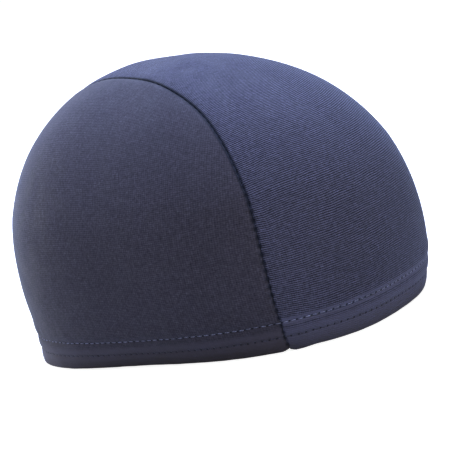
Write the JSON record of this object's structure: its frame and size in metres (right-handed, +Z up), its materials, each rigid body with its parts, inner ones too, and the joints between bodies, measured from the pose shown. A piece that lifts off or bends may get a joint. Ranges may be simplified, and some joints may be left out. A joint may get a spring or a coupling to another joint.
{
  "type": "skull cap",
  "caption": "Close-fitting dome cap of dark stretch knit: two side panels and a centre panel that narrows from brow to nape, joined by curved seams, with a turned-up stitched hem.",
  "frame": {"origin": "under the middle of the cap, on the plane that its rim rests on", "axes": "+Z up through the crown, -Y toward the brow, +X toward the wearer's left"},
  "size_m": [0.1426, 0.1752, 0.1168],
  "materials": {
    "centre_cloth": "matt stretch knit with a faint sheen",
    "side_cloth": "matt stretch knit, the grain turned a quarter",
    "seam_thread": "overlocked thread edge"
  },
  "bodies": {
    "root": {"centre_panel": "centre_cloth", "left_panel": "side_cloth", "right_panel": "side_cloth", "left_seam": "seam_thread", "right_seam": "seam_thread"}
  },
  "joints": []
}
